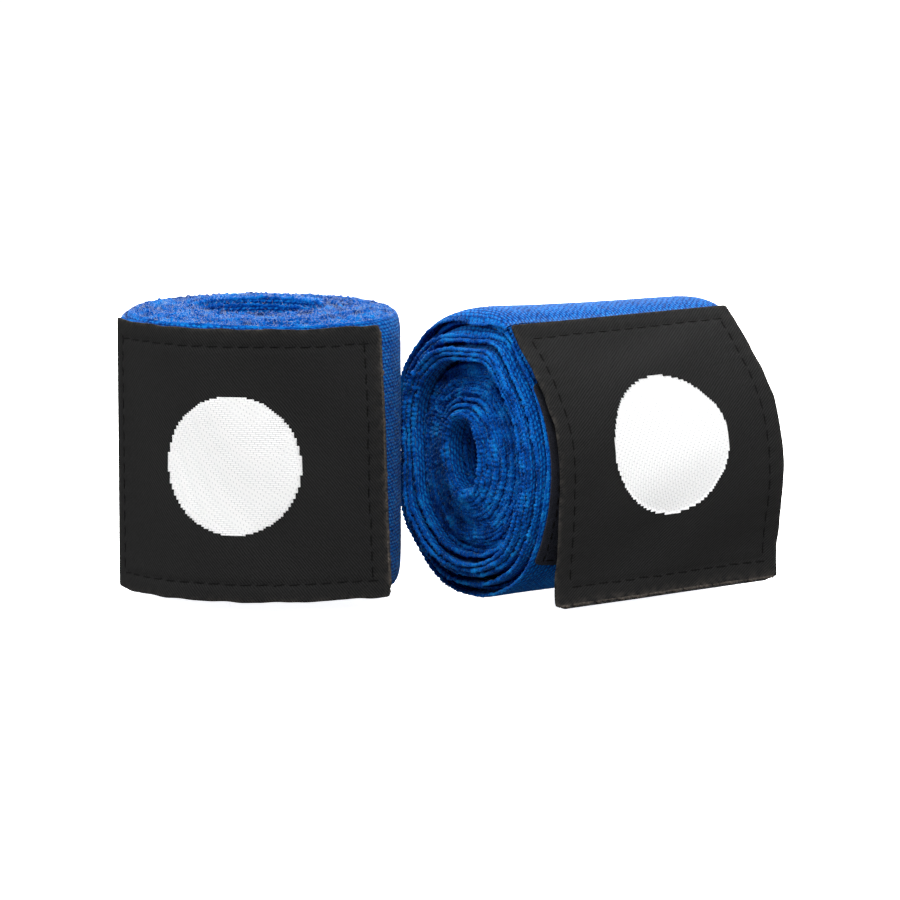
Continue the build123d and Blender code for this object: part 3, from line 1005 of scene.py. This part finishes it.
def standing_wrap():
    turn = math.radians(195)
    front = [(0, -0.1), (11, -0.2), (22, -0.6), (33, -1.1), (45, -1.7), (57, -2.0), (69, -2.0)]
    front += [(80, -1.9), (92, -1.5), (104, -1.0), (115, -0.5), (130, 0.0), (150, 0.35), (180, 0.45)]
    front += [(210, 0.35), (270, 0.0)]
    still = round_profile([(0, 0.0)])
    wrap = Wrap(
        side="left",
        outward=(math.cos(turn), math.sin(turn), 0),
        seed=100,
        pitches=even_pitches(101),
        outline=round_profile(front, 5),
        flare=still,
        taper=still,
        lip=round_profile([(0, 1.2)]),
        far_lip=1.1,
        core=((0.0, 0.0), 0.3, 75),
    )
    wrap.tape_shift = 0.0
    near = [(0, 0.9), (1, 0.6), (30, 0.6)]
    far = [(0, -0.9), (1, -0.4), (2, 0.0), (8, 0.3), (17, 0.3), (18.2, -2.8), (23, -3.3), (26, -5.0)]
    wrap.edges = make_edges(wrap, near, far, 0.16)
    low_edge = [(0, 0), (6, 19), (12, 33), (20, 50), (28, 64), (36, 79), (42, 90), (46, 95), (57, 97)]
    high_edge = [(0, 0), (6, 19), (12, 33), (20, 50), (28, 64), (36, 79), (42, 91), (47, 100), (57, 106)]
    tab = Tab(57.2, 1.4, (0, LABEL_INSIDE), low_edge, (0, LABEL_INSIDE), high_edge, 120)
    return wrap, tab


def lying_wrap():
    axis = -np.array(peel_joint("right")["axis"], float)
    across = np.cross(axis, (0, 0, 1))
    sewn_edge = 73  # degrees above the horizontal
    turn = math.radians(sewn_edge)
    outward = across * math.cos(turn) + np.array([0, 0, math.sin(turn)])

    def past_edge(pairs):
        return [((sewn_edge - angle) % 360, value) for angle, value in pairs]

    body = [(-90, 0.3), (-60, -0.6), (-45, -1.3), (-30, -2.2), (-10, -2.8), (20, -2.9), (40, -2.85)]
    body += [(55, -2.6), (63, -1.9), (68, -1.1), (73, 0.0), (80, 0.2), (120, 0.3), (150, 0.5)]
    body += [(180, 0.0), (210, 0.9), (240, 0.6), (255, 0.3)]
    flare = [(-75, 0.0), (-60, -0.3), (-45, -1.0), (-30, -1.5), (-10, -1.6), (20, -1.5), (45, -1.2)]
    flare += [(60, -0.6), (70, 0.0), (80, 0.3), (97, 0.2), (110, 0.4), (117, 0.5), (126, 0.9), (133, 1.2)]
    flare += [(141, 1.8), (148, 2.6), (156, 3.3), (165, 2.8), (172, 2.3), (187, 1.6), (196, 2.4), (201, 3.5)]
    flare += [(207, 4.6), (213, 4.9), (220, 3.9), (228, 3.9), (236, 4.0), (248, 3.4), (258, 2.0), (270, 0.8)]
    cone = [(60, 0.0), (75, 0.8), (86, 1.2), (96, 1.35), (104, 1.5), (112, 1.8), (122, 2.2), (133, 1.9)]
    cone += [(145, 1.1), (160, 0.4), (180, 0.0), (270, 0.0)]
    rolled = [(60, 0.0), (71, 0.4), (75, 1.0), (80, 1.8), (86, 2.5), (91, 3.0), (96, 3.1), (100, 2.9)]
    rolled += [(110, 2.6), (115, 2.2), (122, 1.9), (126, 1.8), (133, 1.5), (141, 1.2), (160, 1.2)]
    rolled += [(245, 1.2), (262, 0.7), (275, 0.3), (300, 0.0)]
    loose = (1.3, 1.2, 0.8, 1.7, 0.85, 0.95, 1.5)
    wrap = Wrap(
        side="right",
        outward=outward,
        seed=200,
        pitches=even_pitches(201, loose),
        outline=round_profile(past_edge(body), 4),
        flare=round_profile(past_edge(flare), 4),
        taper=round_profile(past_edge(cone), 5),
        lip=round_profile(past_edge(rolled), 3),
        far_lip=1.0,
        core=((1.5, -0.5), 0.55, 73),
    )
    wrap.tape_shift = 1.4
    near = [(0, 0.3), (0.85, 0.3), (1.1, 1.5), (1.9, 1.4), (2.1, -1.0), (3.7, -1.5), (4.1, -2.5)]
    near += [(5.9, -3.0), (6.2, -2.6), (7.2, 0.5), (9, 0.3), (14, -0.9), (20, -2.9), (23, -4.0)]
    near += [(23.6, -3.6), (24.2, -0.5), (26, 1.5)]
    far = [(0, 0.0), (3, 0.1), (10, -0.9), (26, -2.2)]
    wrap.edges = make_edges(wrap, near, far, 0.2)
    near_edge = [(0, 38), (2.5, 34), (6, 25), (9.5, 24), (13, 32), (17, 41), (21, 47), (24.5, 58), (28, 69)]
    near_edge += [(31, 74), (36, 77), (42, 79), (48, 79), (52, 73), (57, 60)]
    far_edge = [(0, 22), (4, 22), (8, 26), (13, 30), (17, 36), (21, 45), (25, 50), (28, 60), (31.5, 68)]
    far_edge += [(35, 75), (39, 81), (43, 84), (47, 83.5), (50, 76), (53, 70), (57, 66)]
    tab = Tab(53.7, -0.6, (1.0, 26.1), near_edge, (-1.9, 25.75), far_edge, 220)
    return wrap, tab


def build(wrap, tab):
    """Every piece of one wrap."""
    cloth = band(wrap)
    selvedge(wrap, False)
    selvedge(wrap, True)
    face = label(wrap, tab)
    label_stitches(wrap, tab)
    badge(wrap, tab)
    folded = hem(wrap, tab)
    hooks = hook_tape(wrap, tab)
    cut_end(wrap, tab)
    pile = loop_tape(wrap)
    thumb_loop(wrap)
    end_lint(wrap, False, NEAR_LINT)
    end_lint(wrap, True, FAR_LINT[wrap.side])
    side_lint(wrap, SIDE_LINT)


standing, standing_tab = standing_wrap()
lying, lying_tab = lying_wrap()
build(standing, standing_tab)
build(lying, lying_tab)


# --- studio
def sky(level, high, low):
    """A world that is brightest overhead, and softer at and below the horizon."""
    world = bpy.data.worlds.new("studio")
    world.use_nodes = True
    tree = world.node_tree
    split = tree.nodes.new("ShaderNodeSeparateXYZ")
    tree.links.new(tree.nodes.new("ShaderNodeTexCoord").outputs["Generated"], split.inputs[0])
    ramp = tree.nodes.new("ShaderNodeMapRange")
    ramp.interpolation_type = "SMOOTHSTEP"
    for name, value in (("From Min", -0.2), ("From Max", 1.0), ("To Min", level), ("To Max", high)):
        ramp.inputs[name].default_value = value
    tree.links.new(split.outputs[2], ramp.inputs["Value"])
    below = tree.nodes.new("ShaderNodeMapRange")
    below.interpolation_type = "SMOOTHSTEP"
    for name, value in (("From Min", -0.1), ("From Max", -0.9), ("To Min", 0.0), ("To Max", low)):
        below.inputs[name].default_value = value
    tree.links.new(split.outputs[2], below.inputs["Value"])
    total = tree.nodes.new("ShaderNodeMath")
    tree.links.new(ramp.outputs[0], total.inputs[0])
    tree.links.new(below.outputs[0], total.inputs[1])
    tree.links.new(total.outputs[0], tree.nodes["Background"].inputs["Strength"])
    bpy.context.scene.world = world


def studio():
    floor_faces = [grid_faces(9, 9)]
    side = np.linspace(-6, 6, 9)
    x, y = np.meshgrid(side, side, indexing="ij")
    points = np.stack([x, y, 0 * x + FLOOR_LEVEL], -1).reshape(-1, 3)
    floor = add_mesh("studio_floor", points, floor_faces, pale_floor())
    floor.visible_diffuse = False
    floor.visible_glossy = False
    floor.visible_shadow = False
    sky(0.14, 0.45, 0.5)
    for name, place, size, power in (
        ("back", (0.0, 0.8, 0.45), 0.9, 23.0),
        ("overhead", (0.0, 0.1, 0.8), 0.6, 3.0),
        ("front", (0.1, -0.75, 0.9), 0.6, 12.5),
        ("right", (0.9, -0.5, 0.35), 0.6, 6.0),
        ("left", (-0.9, -0.14, 0.3), 0.6, 8.0),
        ("below", (0.1, -0.6, -0.45), 0.6, 1.8),
    ):
        data = bpy.data.lights.new(name, "AREA")
        data.size = size
        data.energy = power
        lamp = bpy.data.objects.new(name, data)
        lamp.location = place
        lamp.rotation_mode = "QUATERNION"
        lamp.rotation_quaternion = Vector(place).to_track_quat("Z", "Y")
        bpy.context.scene.collection.objects.link(lamp)


def camera(base):
    """A long lens a little above the wraps."""
    elevation = math.radians(8.64)
    yaw = math.radians(-0.31)
    distance = 0.9332
    target = Vector((base[0] + 0.03425, base[1], 0.0243))
    back = Vector(
        (-math.sin(yaw) * math.cos(elevation), -math.cos(yaw) * math.cos(elevation), math.sin(elevation))
    )
    data = bpy.data.cameras.new("camera")
    data.lens = 205.3
    data.sensor_width = 36.0
    cam = bpy.data.objects.new("camera", data)
    cam.location = target + back * distance
    cam.rotation_mode = "QUATERNION"
    cam.rotation_quaternion = (-back).to_track_quat("-Z", "Y")
    bpy.context.scene.collection.objects.link(cam)
    bpy.context.scene.camera = cam


studio()
camera(standing.base)
bpy.context.scene.view_settings.view_transform = "Standard"
